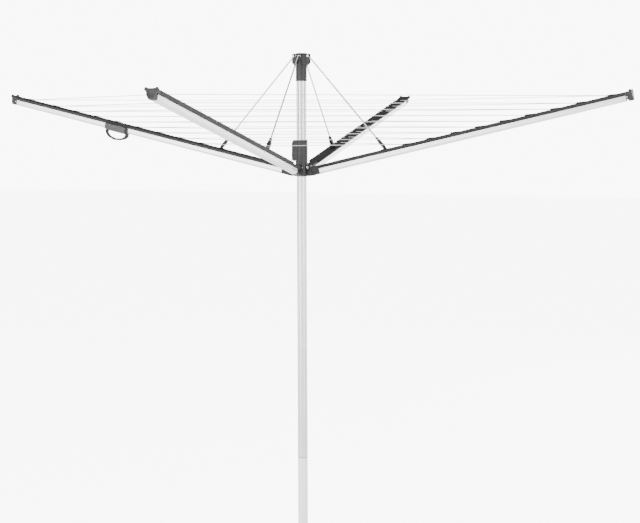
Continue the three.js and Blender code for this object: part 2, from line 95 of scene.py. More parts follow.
def make_camera():
    azimuth = math.radians(CAMERA_AZIMUTH)
    turn = azimuth + math.radians(CAMERA_YAW)
    pitch = math.radians(CAMERA_PITCH)
    level = Vector((-math.sin(turn), math.cos(turn), 0))
    forward = level * math.cos(pitch) - Vector((0, 0, math.sin(pitch)))
    right = forward.cross(Vector((0, 0, 1))).normalized()
    up = right.cross(forward)
    roll = Matrix.Rotation(math.radians(CAMERA_ROLL), 3, -forward)
    data = bpy.data.cameras.new("camera")
    data.lens = LENS
    data.sensor_width = 36
    data.clip_end = 100
    camera = bpy.data.objects.new("camera", data)
    bpy.context.scene.collection.objects.link(camera)
    place = Matrix((roll @ right, roll @ up, -forward)).transposed().to_4x4()
    place.translation = (CAMERA_AWAY * math.sin(azimuth), -CAMERA_AWAY * math.cos(azimuth), CAMERA_HEIGHT)
    camera.matrix_world = place
    bpy.context.scene.camera = camera


make_camera()

# ------------------------------------------------------------------ places
PART_FRAME = Matrix.Identity(4)


def side_frame(direction):
    return Matrix.Rotation(math.radians(DIRECTIONS[direction]), 4, "Z")


def arm_frame(direction):
    """The hinge pin at the origin, X out along the arm."""
    pin = Matrix.Translation((HINGE_R * MM, 0, HINGE_Z * MM))
    return side_frame(direction) @ pin @ Matrix.Rotation(-ELEVATION, 4, "Y")


FOOT_X = HINGE_R + FOOT_ALONG * math.cos(ELEVATION) - FOOT_UP * math.sin(ELEVATION)
FOOT_Z = HINGE_Z + FOOT_ALONG * math.sin(ELEVATION) + FOOT_UP * math.cos(ELEVATION)
STRUT_LENGTH = math.hypot(FOOT_X - CROWN_PIVOT_R, CROWN_PIVOT_Z - FOOT_Z)
STRUT_LEAN = math.atan2(CROWN_PIVOT_R - FOOT_X, CROWN_PIVOT_Z - FOOT_Z)


def strut_frame(direction):
    """The strut's lower pivot at the origin, Z up to the crown."""
    foot = Matrix.Translation((FOOT_X * MM, 0, FOOT_Z * MM))
    return side_frame(direction) @ foot @ Matrix.Rotation(STRUT_LEAN, 4, "Y")


LATCH = Matrix.Rotation(math.radians(LATCH_TURN), 4, "Z")

# ------------------------------------------------------------------ mesh tools, in millimetres


def to_object(name, mesh_maker):
    bmesh.ops.remove_doubles(mesh_maker, verts=mesh_maker.verts, dist=1e-4)
    bmesh.ops.recalc_face_normals(mesh_maker, faces=mesh_maker.faces)
    mesh = bpy.data.meshes.new(name)
    mesh_maker.to_mesh(mesh)
    mesh_maker.free()
    made = bpy.data.objects.new(name, mesh)
    bpy.context.scene.collection.objects.link(made)
    return made


def rounded(points, radius=1.0, steps=3):
    """The outline with each corner rounded. A point may carry a radius of its own as a third number."""
    outline = []
    count = len(points)
    for i, point in enumerate(points):
        here = Vector(point[:2])
        own = point[2] if len(point) > 2 else radius
        before = Vector(points[i - 1][:2]) - here
        after = Vector(points[(i + 1) % count][:2]) - here
        reach = min(own, before.length * 0.48, after.length * 0.48)
        if reach < 0.05:
            outline.append(here)
            continue
        start = here + before.normalized() * reach
        end = here + after.normalized() * reach
        for k in range(steps + 1):
            t = k / steps
            outline.append(start * (1 - t) ** 2 + here * 2 * t * (1 - t) + end * t ** 2)
    return [tuple(p) for p in outline]


def mirrored(half):
    """A closed outline from its half on the positive side of the first axis."""
    return half + [(-point[0], *point[1:]) for point in reversed(half)]


PLACE = {
    "x": lambda a, b, t: (t, a, b),
    "y": lambda a, b, t: (a, t, b),
    "z": lambda a, b, t: (a, b, t),
}


def prism(outline, low, high, axis, name="prism"):
    """The outline drawn along an axis. Its points are in the two other axes, in order."""
    maker = bmesh.new()
    ends = [[maker.verts.new(PLACE[axis](a, b, t)) for a, b in outline] for t in (low, high)]
    maker.faces.new(ends[0])
    maker.faces.new(list(reversed(ends[1])))
    for i in range(len(outline)):
        maker.faces.new((ends[0][i - 1], ends[0][i], ends[1][i], ends[1][i - 1]))
    return to_object(name, maker)


def block(x0, x1, y0, y1, z0, z1, radius=0):
    corners = [(x0, z0), (x1, z0), (x1, z1), (x0, z1)]
    return prism(rounded(corners, radius) if radius else corners, y0, y1, "y")


def lathe(profile, name="lathe", segments=64, closed=False):
    """The profile turned about Z. Its points are (radius, z); an open one starts and ends on the axis."""
    maker = bmesh.new()
    rings = []
    for k in range(segments):
        angle = 2 * math.pi * k / segments
        rings.append([maker.verts.new((r * math.cos(angle), r * math.sin(angle), z)) for r, z in profile])
    spans = len(profile) if closed else len(profile) - 1
    for k in range(segments):
        for i in range(spans):
            j = (i + 1) % len(profile)
            maker.faces.new((rings[k - 1][i], rings[k][i], rings[k][j], rings[k - 1][j]))
    bmesh.ops.remove_doubles(maker, verts=maker.verts, dist=1e-4)
    bmesh.ops.dissolve_degenerate(maker, edges=maker.edges, dist=1e-5)
    return to_object(name, maker)


def tube(path, radius, sides=12, name="tube"):
    """A round bar along the path, with a radius for each point if it is a list."""
    points = [Vector(p) for p in path]
    radii = radius if isinstance(radius, list) else [radius] * len(points)
    maker = bmesh.new()
    normal = None
    rings = []
    for i, point in enumerate(points):
        way = (points[min(i + 1, len(points) - 1)] - points[max(i - 1, 0)]).normalized()
        if normal is None:
            normal = way.orthogonal().normalized()
        normal = (normal - way * normal.dot(way)).normalized()
        side = way.cross(normal)
        angles = [2 * math.pi * k / sides for k in range(sides)]
        rings.append([maker.verts.new(point + radii[i] * (normal * math.cos(a) + side * math.sin(a)))
                      for a in angles])
    for low, high in zip(rings, rings[1:]):
        for k in range(sides):
            maker.faces.new((low[k - 1], low[k], high[k], high[k - 1]))
    maker.faces.new(rings[0])
    maker.faces.new(list(reversed(rings[-1])))
    return to_object(name, maker)


def rivet(centre, axis, radius, height, name="rivet"):
    """A domed head standing on the centre point."""
    profile = [(0, 0), (radius, 0), (radius, height * 0.45)]
    for k in range(1, 6):
        angle = math.pi / 2 * k / 5
        profile.append((radius * math.cos(angle), height * (0.45 + 0.55 * math.sin(angle))))
    made = lathe(profile, name, 28)
    turn = Vector((0, 0, 1)).rotation_difference(Vector(axis)).to_matrix().to_4x4()
    made.data.transform(Matrix.Translation(centre) @ turn)
    return made


def apply_modifiers(made):
    graph = bpy.context.evaluated_depsgraph_get()
    old = made.data
    made.data = bpy.data.meshes.new_from_object(made.evaluated_get(graph))
    made.modifiers.clear()
    bpy.data.meshes.remove(old)
    return made


def combine(made, tools, operation="DIFFERENCE"):
    for tool in tools:
        change = made.modifiers.new("combine", "BOOLEAN")
        change.operation = operation
        change.solver = "MANIFOLD"
        change.object = tool
    apply_modifiers(made)
    for tool in tools:
        bpy.data.objects.remove(tool)
    return made


def fused(pieces):
    return combine(pieces[0], pieces[1:], "UNION")


def edges_rounded(made, width=0.6, segments=2, angle=32):
    change = made.modifiers.new("edges", "BEVEL")
    change.width = width
    change.segments = segments
    change.limit_method = "ANGLE"
    change.angle_limit = math.radians(angle)
    change.use_clamp_overlap = True
    return apply_modifiers(made)


def turned(made, matrix):
    made.data.transform(matrix)
    return made


def around_mast(make_piece):
    """Four copies of a piece, one towards each arm."""
    return [turned(make_piece(), side_frame(direction)) for direction in DIRECTIONS]


# ------------------------------------------------------------------ putting a piece in the frame
def put(made, name, body, nodes, matrix=PART_FRAME):
    made.name = name
    made.matrix_world = matrix
    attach(made, body)
    if nodes:
        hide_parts(*nodes)
    return made


def finished(made, material, smooth_angle=38):
    """Millimetres to metres, soft shading with sharp edges, and the material."""
    made.data.transform(Matrix.Scale(MM, 4))
    made.data.shade_smooth()
    made.data.set_sharp_from_angle(angle=math.radians(smooth_angle))
    made.data.materials.clear()
    made.data.materials.append(material)
    return made


def on_each_arm(made, node, body="arm", place=arm_frame, name=None):
    """The piece on all four arms: the copies share its mesh."""
    for i, direction in enumerate(DIRECTIONS):
        copy = made
        if i:
            copy = bpy.data.objects.new("copy", made.data)
            bpy.context.scene.collection.objects.link(copy)
        title = f"{name or node + '_piece'}_{direction}"
        put(copy, title, f"{body}_{direction}", [f"{node}_{direction}"], place(direction))

# ------------------------------------------------------------------ materials


class Recipe:
    """A node material under construction."""

    def __init__(self, name, roughness, metallic=0.0, **sockets):
        self.material = bpy.data.materials.new(name)
        self.material.use_nodes = True
        self.tree = self.material.node_tree
        self.shader = self.tree.nodes["Principled BSDF"]
        self.shader.inputs["Roughness"].default_value = roughness
        self.shader.inputs["Metallic"].default_value = metallic
        for socket, value in sockets.items():
            self.shader.inputs[socket.replace("_", " ")].default_value = value
        self.place = self.add("ShaderNodeTexCoord").outputs["Object"]

    def add(self, kind, inputs=None, **settings):
        node = self.tree.nodes.new(kind)
        for key, value in settings.items():
            setattr(node, key, value)
        for key, value in (inputs or {}).items():
            self.give(node.inputs[key], value)
        return node

    def give(self, socket, value):
        if isinstance(value, bpy.types.NodeSocket):
            self.tree.links.new(value, socket)
        else:
            socket.default_value = value

    def noise(self, scale, stretch=(1, 1, 1), detail=4.0, roughness=0.55):
        """Noise with so many blotches to the metre, drawn out where stretch is small."""
        mapping = self.add("ShaderNodeMapping", {"Vector": self.place, "Scale": stretch})
        inputs = {"Vector": mapping.outputs[0], "Scale": scale, "Detail": detail, "Roughness": roughness}
        return self.add("ShaderNodeTexNoise", inputs).outputs["Fac"]

    def range(self, value, from_low, from_high, low, high):
        inputs = {0: value, 1: from_low, 2: from_high, 3: low, 4: high}
        return self.add("ShaderNodeMapRange", inputs).outputs[0]

    def mix(self, share, first, second, blend="MIX"):
        node = self.add("ShaderNodeMix", data_type="RGBA", blend_type=blend)
        for key, value in ((0, share), (6, first), (7, second)):
            self.give(node.inputs[key], value)
        return node.outputs[2]

    def math(self, operation, first, second=0.0):
        return self.add("ShaderNodeMath", {0: first, 1: second}, operation=operation).outputs[0]

    def edges(self, low=0.52, high=0.6):
        """One on outward edges, nothing on flat faces."""
        pointy = self.add("ShaderNodeNewGeometry").outputs["Pointiness"]
        return self.range(pointy, low, high, 0, 1)

    def bump(self, height, strength, distance, under=None):
        inputs = {"Height": height, "Strength": strength, "Distance": distance}
        if under is not None:
            inputs["Normal"] = under
        return self.add("ShaderNodeBump", inputs).outputs[0]

    def done(self, colour=None, roughness=None, normal=None):
        for key, value in (("Base Color", colour), ("Roughness", roughness), ("Normal", normal)):
            if value is not None:
                self.tree.links.new(value, self.shader.inputs[key])
        return self.material


def grey(value, warmth=0.0):
    return (value * (1 + warmth), value, value * (1 - warmth), 1)


def moulded_plastic(name, tone, roughness, grain=2600):
    """Satin plastic: a fine moulded grain, faint flow marks and rubbed edges."""
    r = Recipe(name, roughness, Specular_IOR_Level=0.3)
    blotches = r.noise(45, detail=5)
    flow = r.noise(160, (0.35, 1, 1), detail=3)
    colour = r.mix(r.range(blotches, 0.35, 0.65, 0, 1), grey(tone * 0.9, -0.01), grey(tone * 1.12, 0.01))
    colour = r.mix(r.range(flow, 0.4, 0.7, 0, 0.25), colour, grey(tone * 1.3))
    scuffs = r.math("MULTIPLY", r.edges(), r.range(r.noise(420), 0.45, 0.62, 0, 1))
    colour = r.mix(r.math("MULTIPLY", scuffs, 0.45), colour, grey(min(tone * 2.6, 0.6)))
    rough = r.range(blotches, 0.3, 0.7, roughness - 0.07, roughness + 0.08)
    fine = r.bump(r.noise(grain, detail=2), 0.22, 0.0003)
    return r.done(colour, rough, r.bump(flow, 0.08, 0.0006, fine))


def drawn_aluminium(name, tone, roughness, along, metallic=0.9):
    """Anodised extrusion: fine die lines along the part, cloudy patches and a few light rubs."""
    r = Recipe(name, roughness, metallic)
    lines = [2600, 2600, 2600]
    lines["xyz".index(along)] = 9
    fine = r.noise(1, lines, detail=3, roughness=0.7)
    broad = [240, 240, 240]
    broad["xyz".index(along)] = 3
    bands = r.noise(1, broad, detail=2)
    cloud = r.noise(14, detail=4)
    colour = r.mix(r.range(cloud, 0.35, 0.65, 0, 1), grey(tone * 0.95, -0.006), grey(tone * 1.04, 0.004))
    colour = r.mix(r.range(bands, 0.4, 0.62, 0, 0.3), colour, grey(tone * 0.86))
    marks = r.range(r.noise(300, (1, 0.2, 1), detail=6), 0.66, 0.72, 0, 0.35)
    colour = r.mix(marks, colour, grey(min(tone * 1.15, 0.95)))
    rough = r.range(fine, 0.3, 0.7, roughness - 0.06, roughness + 0.08)
    return r.done(colour, rough, r.bump(fine, 0.18, 0.00015))


def powder_coat(name, tone, roughness):
    """Pale coat with a fine orange peel and dulled patches."""
    r = Recipe(name, roughness, 0.65, Coat_Weight=0.25, Coat_Roughness=0.3)
    peel = r.noise(900, detail=2)
    cloud = r.noise(10, detail=5)
    colour = r.mix(r.range(cloud, 0.35, 0.65, 0, 1), grey(tone * 0.95), grey(tone * 1.02, 0.004))
    rubs = r.range(r.noise(120, (1, 1, 0.15), detail=6), 0.64, 0.74, 0, 0.4)
    colour = r.mix(rubs, colour, grey(tone * 0.78))
    rough = r.range(cloud, 0.3, 0.7, roughness - 0.06, roughness + 0.08)
    return r.done(colour, rough, r.bump(peel, 0.15, 0.0002))


def zinc_steel(name, tone, roughness):
    """Bright zinc: a crystalline mottle and drawing lines."""
    r = Recipe(name, roughness, 1.0)
    cells = r.add("ShaderNodeTexVoronoi", {"Vector": r.place, "Scale": 900.0}).outputs["Distance"]
    lines = r.noise(1, (2200, 2200, 60), detail=3)
    cloud = r.noise(60, detail=4)
    colour = r.mix(r.range(cloud, 0.3, 0.7, 0, 1), grey(tone * 0.9, -0.01), grey(tone * 1.06, 0.006))
    colour = r.mix(r.range(cells, 0.2, 0.6, 0, 0.25), colour, grey(tone * 0.85))
    rough = r.range(lines, 0.3, 0.7, roughness - 0.06, roughness + 0.1)
    return r.done(colour, rough, r.bump(lines, 0.15, 0.00012))


def faintly_glowing_cord(name, tone):
    """Plastic-coated line: the twist of the core shows through the coat, and a faint white glow is painted on
    so the line looks brighter than its lighting makes it.
    """
    # Emission Strength 0.14 is painted light: the cord glows faintly white though it is no lamp.
    r = Recipe(name, 0.45, Emission_Color=(1, 1, 1, 1), Emission_Strength=0.14)
    twist = r.add("ShaderNodeTexWave", {"Vector": r.place, "Scale": 150.0, "Distortion": 1.5},
                  bands_direction="DIAGONAL")
    dirt = r.noise(80, detail=5)
    colour = r.mix(r.range(dirt, 0.4, 0.75, 0, 0.5), grey(tone, 0.004), grey(tone * 0.88, 0.015))
    colour = r.mix(r.math("MULTIPLY", twist.outputs["Fac"], 0.12), colour, grey(tone * 0.8))
    rough = r.range(dirt, 0.3, 0.7, 0.4, 0.55)
    return r.done(colour, rough, r.bump(twist.outputs["Fac"], 0.35, 0.0003))


def smooth_acetal(name, tone):
    """The pale liners: smooth plastic with faint rub marks along the mast."""
    r = Recipe(name, 0.35, Subsurface_Weight=0.1)
    marks = r.noise(1, (900, 900, 30), detail=4)
    colour = r.mix(r.range(marks, 0.35, 0.7, 0, 1), grey(tone, 0.01), grey(tone * 0.86, 0.01))
    return r.done(colour, r.range(marks, 0.3, 0.7, 0.28, 0.45), r.bump(marks, 0.1, 0.0002))


MAST = drawn_aluminium("mast_aluminium", 0.60, 0.3, "z")
CHANNEL = drawn_aluminium("arm_aluminium", 0.84, 0.4, "x", 0.8)
TUBE = powder_coat("ground_tube", 0.93, 0.36)
HUB_PLASTIC = moulded_plastic("hub_plastic", 0.042, 0.55)
COVER_PLASTIC = moulded_plastic("cover_plastic", 0.014, 0.62)
DARK_PLASTIC = moulded_plastic("dark_plastic", 0.014, 0.52)
ROOT_PLASTIC = moulded_plastic("root_plastic", 0.026, 0.52)
HANDLE_PLASTIC = moulded_plastic("handle_plastic", 0.09, 0.5)
STEEL = zinc_steel("steel", 0.6, 0.3)
LINER = smooth_acetal("bush_plastic", 0.69)
CORD = faintly_glowing_cord("line_cord", 0.82)
BY_SLOT = {
    "mast_aluminium": MAST,
    "arm_aluminium": CHANNEL,
    "ground_tube": TUBE,
    "hub_plastic": HUB_PLASTIC,
    "cover_plastic": COVER_PLASTIC,
    "dark_plastic": DARK_PLASTIC,
    "steel": STEEL,
    "bush_plastic": LINER,
    "line_cord": CORD,
}


def paint_cad_nodes():
    """The CAD nodes that stay get their slot's material."""
    for row in frame["record"]["subparts"]:
        node = frame["nodes"][row["node"]]
        node.data.materials.clear()
        node.data.materials.append(BY_SLOT[row["material_slot"]])


paint_cad_nodes()

# ------------------------------------------------------------------ clothes lines


def line_ends(direction, along):
    """Where one line leaves its arm's hood, and where it goes into the next arm's."""
    following = list(DIRECTIONS)[(list(DIRECTIONS).index(direction) + 1) % 4]
    start = arm_frame(direction) @ Vector(((along + 1.5) * MM, LINE_SIDE * MM, LINE_UP * MM))
    end = arm_frame(following) @ Vector(((along + 1.5) * MM, -LINE_SIDE * MM, LINE_UP * MM))
    return start, end


def clothes_line(direction, number, along):
    start, end = line_ends(direction, along)
    way = end - start
    steps = 14
    path = [start + way * (k / steps) for k in range(steps + 1)]
    cord = tube([p / MM for p in path], LINE_DIAMETER / 2, 10)
    finished(cord, CORD, 60)
    put(cord, f"line_{direction}_{number}", f"arm_{direction}", [f"line_set_{direction}"])
    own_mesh(cord)


for side in DIRECTIONS:
    for number, outlet in enumerate(OUTLETS, 1):
        clothes_line(side, number, outlet)

# ------------------------------------------------------------------ tubes


def fluted_tube(low, high, name):
    """Flat lands facing the arms and their diagonals, with a soft groove between each two."""
    steps = 160
    outer, inner = [], []
    for k in range(steps):
        angle = 2 * math.pi * k / steps
        phase = (angle * FLUTES / (2 * math.pi) + 0.5) % 1
        depth = max(0.0, math.cos(phase * 2 * math.pi) - 0.15) / 0.85
        radius = MAST_R - FLUTE_DEPTH * depth ** 0.8
        outer.append((radius * math.cos(angle), radius * math.sin(angle)))
        inner.append((TUBE_BORE * math.cos(angle), TUBE_BORE * math.sin(angle)))
    maker = bmesh.new()
    levels = [(0.5, low), (0, low + 0.5), (0, high - 0.5), (0.5, high)]
    rings = []
    for inset, z in levels:
        share = 1 - inset / MAST_R
        rings.append([maker.verts.new((x * share, y * share, z)) for x, y in outer])
    for z in (high, low):
        rings.append([maker.verts.new((x, y, z)) for x, y in inner])
    for i, ring in enumerate(rings):
        following = rings[(i + 1) % len(rings)]
        for k in range(steps):
            maker.faces.new((ring[k - 1], ring[k], following[k], following[k - 1]))
    return to_object(name, maker)


def tubes():
    foot = JOINT_Z + 0.9
    mast = finished(fluted_tube(foot, MAST_TOP, "mast"), MAST)
    put(mast, "mast_extrusion", "mast", ["mast_tube"])
    ground = finished(fluted_tube(4.3, JOINT_Z - 0.9, "ground"), TUBE)
    put(ground, "ground_extrusion", "ground", ["ground_tube"])
    seat = TUBE_BORE - 0.4
    plug = lathe([(0, 0), (15, 0), (16.2, 0.4), (18.8, 1.6), (19.4, 2.4), (19.4, 3.6), (19, 4),
                  (seat, 4), (seat, 12)]
                 + [(seat - 0.8, 12.5), (seat - 0.8, 18), (seat, 18.5), (seat, 29), (seat - 2, 34), (0, 34)])
    put(finished(plug, DARK_PLASTIC), "foot_plug_moulding", "ground", ["foot_plug"])


tubes()

# ------------------------------------------------------------------ crown


def crown_ear():
    """One ear: it bulges below, narrows, and hooks over the strut's cross bar."""
    outline = rounded([
        (20, CROWN_LOW + 2), (26.5, CROWN_LOW + 2, 3), (31, CROWN_LOW + 7, 6), (35.6, CROWN_LOW + 12, 5),
        (35.7, CROWN_LOW + 21, 6), (32.6, CROWN_LOW + 30, 4), (34.9, CROWN_LOW + 36, 3),
                       (35.7, CROWN_TOP - 6, 4),
        (33, CROWN_TOP - 3.2, 3), (24, CROWN_TOP - 2.6, 3), (20, CROWN_TOP - 3),
    ], 1, 5)
    ear = prism(outline, 5.4, 9, "y")
    eye = turned(lathe([(0, -6), (3.3, -6), (3.3, 6), (0, 6)], segments=32),
                 Matrix.Rotation(math.pi / 2, 4, "X"))
    turned(eye, Matrix.Translation((CROWN_PIVOT_R, 7, CROWN_PIVOT_Z)))
    recess = prism(rounded([(25, CROWN_LOW + 12), (32.6, CROWN_LOW + 13), (32, CROWN_LOW + 24),
                            (25, CROWN_LOW + 29)], 2.5),
                   8.3, 12, "y")
    return edges_rounded(combine(ear, [eye, recess]), 0.5)


def crown_ears():
    near = crown_ear()
    far = near.copy()
    far.data = near.data.copy()
    bpy.context.scene.collection.objects.link(far)
    turned(far, Matrix.Scale(-1, 4, (0, 1, 0)))
    far.data.flip_normals()
    web = edges_rounded(block(20, 25.5, -5.6, 5.6, CROWN_LOW + 3, CROWN_LOW + 29, 2), 0.5)
    return fused([near, far, web])


def crown():
    bore = MAST_R + 0.4
    sleeve = lathe([(bore, SLEEVE_LOW), (20.9, SLEEVE_LOW), (21.4, SLEEVE_LOW + 0.6), (21.6, SLEEVE_LOW + 2),
                    (21.6, SLEEVE_LOW + 5), (21.2, SLEEVE_LOW + 5.4), (21.2, SLEEVE_LOW + 6.4),
                    (21.6, SLEEVE_LOW + 6.8),
                    (21.6, CROWN_LOW - 1.2), (21.2, CROWN_LOW - 0.05), (bore, CROWN_LOW - 0.05)],
                   "sleeve", 96, True)
    put(finished(sleeve, HUB_PLASTIC), "crown_sleeve_moulding", "mast", ["crown_sleeve"])
    top = CROWN_TOP - 6
    body = lathe([(bore, CROWN_LOW), (23.4, CROWN_LOW), (24.2, CROWN_LOW + 0.8), (24.2, CROWN_LOW + 3.4),
                  (23.4, CROWN_LOW + 4.2), (22.4, CROWN_LOW + 4.6), (22.4, top - 6), (22.9, top - 5.4),
                  (22.9, top - 0.8), (22.1, top), (bore, top)], "head", 96, True)
    head = fused([body] + around_mast(crown_ears))
    put(finished(head, HUB_PLASTIC), "crown_head_moulding", "mast", ["crown_head"])
    low = top + GAP
    seat = TUBE_BORE - 0.4
    cap = lathe([(0, 1950), (seat - 1.5, 1950), (seat, 1952), (seat, low), (22, low), (22.2, low + 0.8),
                 (22, low + 2.2),
                 (20.6, CROWN_TOP - 1.4), (17, CROWN_TOP - 0.4), (13.4, CROWN_TOP - 0.1),
                 (12.8, CROWN_TOP - 0.7),
                 (11.8, CROWN_TOP - 0.8), (11.2, CROWN_TOP - 0.1), (6, CROWN_TOP), (0, CROWN_TOP)], "cap", 96)
    put(finished(cap, DARK_PLASTIC), "crown_cap_moulding", "mast", ["crown_cap"])


crown()

# ------------------------------------------------------------------ hub


def hub_lug():
    """A lug with a boss round its pin and a rib down to the collar's foot."""
    root, low = COLLAR_R - 1.8, HINGE_Z - 34
    lug = prism(rounded([(root, low), (29, low, 2), (36.4, HINGE_Z - 10, 6), (36.4, HINGE_Z + 7.4, 8),
                         (root, HINGE_Z + 11, 3)], 1, 6), -LUG_HALF, LUG_HALF, "y")
    pocket = block(27.5, 33.5, -9, -5.2, low + 6, HINGE_Z - 11, 2)
    other = block(27.5, 33.5, 5.2, 9, low + 6, HINGE_Z - 11, 2)
    return edges_rounded(combine(lug, [pocket, other]), 0.6)


def hinge_pin(direction):
    pin = tube([(HINGE_R, -14, HINGE_Z), (HINGE_R, 14, HINGE_Z)], PIN_R, 28)
    heads = [rivet((HINGE_R, side * 13.8, HINGE_Z), (0, side, 0), 4.8, 1.5) for side in (1, -1)]
    put(finished(fused([pin] + heads), STEEL), f"pin_{direction}", "hub", [f"hinge_pin_{direction}"],
        side_frame(direction))


def latch():
    low, high = LATCH_Z - 21.5, COLLAR_HIGH - 1
    face = LATCH_FACE
    side = prism(rounded([(18, low), (face - 3, low, 3), (face, low + 6, 4), (face, high - 9, 4),
                          (face - 6, high, 3),
                          (18, high)], 0.5, 5), -8, 8, "y")
    back = lathe([(0, low - 9), (COLLAR_R + GAP, low - 9), (COLLAR_R + GAP, high + 9), (0, high + 9)],
                 segments=96)
    hole = tube([(18, 0, LATCH_Z), (face + 6, 0, LATCH_Z)], 5.4, 36)
    room = block(0, face - 2.5, -5.6, 5.6, LATCH_Z - 14, LATCH_Z + 14)
    dish = tube([(face - 1.8, 0, LATCH_Z), (face + 3, 0, LATCH_Z)], 6.9, 40)
    housing = combine(edges_rounded(side, 1.2, 3), [back, room, hole, dish])
    put(finished(housing, HUB_PLASTIC), "latch_moulding", "hub", ["latch_housing"], LATCH)
    skirt = face - 5
    profile = [(0, 28.4), (2.2, 28.4), (2.2, skirt), (4.9, skirt), (4.9, face + 1.2), (4.3, face + 1.9),
               (3.2, face + 1.6)]
    button = lathe(profile + [(0, face + 1)], "button", 40)
    turned(button, Matrix.Translation((0, 0, LATCH_Z)) @ Matrix.Rotation(math.pi / 2, 4, "Y"))
    put(finished(button, DARK_PLASTIC), "button_moulding", "release_button", ["release_button"],
        LATCH)
    latch_spring(COLLAR_R + 1.15, skirt - 0.85)


def latch_spring(first, last):
    """A coil behind the button, from the collar out to the button's skirt."""
    turns, steps = 4, 112
    coil = []
    for k in range(steps + 1):
        angle = 2 * math.pi * turns * k / steps
        along = first + (last - first) * k / steps
        coil.append((along, SPRING_R * math.cos(angle), LATCH_Z + SPRING_R * math.sin(angle)))
    spring = tube(coil, WIRE_R, 10, "spring")
    put(finished(spring, STEEL, 60), "spring_coil", "hub", ["button_spring"], LATCH)
    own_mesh(spring)


def hub():
    bore, low, high = 21.2, COLLAR_LOW, COLLAR_HIGH
    collar = lathe([(bore, low), (22.6, low), (23.4, low + 0.8), (23.4, low + 5), (22.9, low + 5.4),
                    (22.9, low + 6.6),
                    (23.6, low + 7.2), (23.6, high - 7), (23, high - 6.5), (23, high - 5.5), (23.6, high - 5),
                    (23.6, high - 1.4), (22.8, high - 0.4), (22.2, high), (bore, high)], "collar", 96, True)
    body = fused([collar] + around_mast(hub_lug))
    put(finished(body, HUB_PLASTIC), "hub_moulding", "hub", ["hub_body"])
    for direction in DIRECTIONS:
        hinge_pin(direction)
    latch()


hub()

# ------------------------------------------------------------------ arms, in the arm's own frame


def arm_root():
    """Two cheeks on the hinge pin, a sunk panel in each side, and a rim where the channel goes in."""
    end = ARM_START - GAP
    nose = 6.1
    arc = [(nose * math.cos(a), nose * math.sin(a), 0) for a in (math.radians(40 + 20 * k) for k in range(8))]
    cheek = rounded([(end, CHANNEL_LOW), (end, COVER_TOP), (10, COVER_TOP, 2)] + arc
                    + [(-nose, CHANNEL_LOW + 4, 3), (4 - nose, CHANNEL_LOW, 2)], 0.6, 4)
    half = CHANNEL_HALF
    root = prism(cheek, -half, half, "y")
    tools = [block(-20, 12, -8, 8, -60, 20)]
    tools.append(tube([(0, -20, 0), (0, 20, 0)], PIN_R + GAP, 28))
    for side in (-1, 1):
        thin, deep = sorted((side * 13.4, side * 22)), sorted((side * 11.6, side * 22))
        tools.append(block(-20, 8, *thin, -60, 20))
        panel = rounded([(14, -10), (12, -24, 3), (22, -27), (38, -26, 3), (38, -9, 2), (26, -6)], 2, 4)
        tools.append(prism(panel, *deep, "y"))
        slot = rounded([(4, -29.5), (40, -30.5), (40, -32.6), (5, -31.6)], 0.6)
        tools.append(prism(slot, *sorted((side * 13.3, side * 22)), "y"))
    root = edges_rounded(combine(root, tools), 0.6)
    tongue = block(end - 4, end + 45, -TONGUE_HALF, TONGUE_HALF, CHANNEL_BEND + 1, CHANNEL_HIGH - 1)
    return fused([root, tongue])


def arm_channel():
    """Open towards the cover, with its lower corners slanted and a shallow line down each side."""
    half, wall = CHANNEL_HALF, 2
    edge = [(half - CHANNEL_SLANT, CHANNEL_LOW, 0.8), (half, CHANNEL_BEND, 1.5), (half, -22.4, 0),
            (half - 0.35, -22, 0),
            (half - 0.35, -21.4, 0), (half, -21, 0), (half, CHANNEL_HIGH, 0.5),
            (half - wall, CHANNEL_HIGH, 0.5),
            (half - wall, CHANNEL_BEND + 0.6, 1), (half - CHANNEL_SLANT - 1.1, CHANNEL_LOW + wall, 0.6)]
    return prism(rounded(mirrored(edge), 0.4, 3), ARM_START, ARM_END, "x")


def hood(x):
    """A wedge outside each outlet: upright at its inner end, running out to the cover."""
    top = COVER_TOP + 5
    outline = rounded([(x + 1.2, COVER_TOP - 3), (x + 2, top, 1.6), (x + 12, top - 0.5, 4),
                       (x + 48, COVER_TOP, 12),
                       (x + 48, COVER_TOP - 3)], 0.2, 5)
    wedge = edges_rounded(prism(outline, -11.5, 11.5, "y"), 1.4, 3, 25)
    return wedge


def mouth(x, side):
    """Where the line comes out: a slot low in the hood's side."""
    slot = rounded([(x - 5, COVER_TOP + 0.4), (x + 9, COVER_TOP + 0.4), (x + 8, COVER_TOP + 4.1),
                    (x - 5, COVER_TOP + 4.6)], 1)
    return prism(slot, *sorted((side * 7, side * 20)), "y")


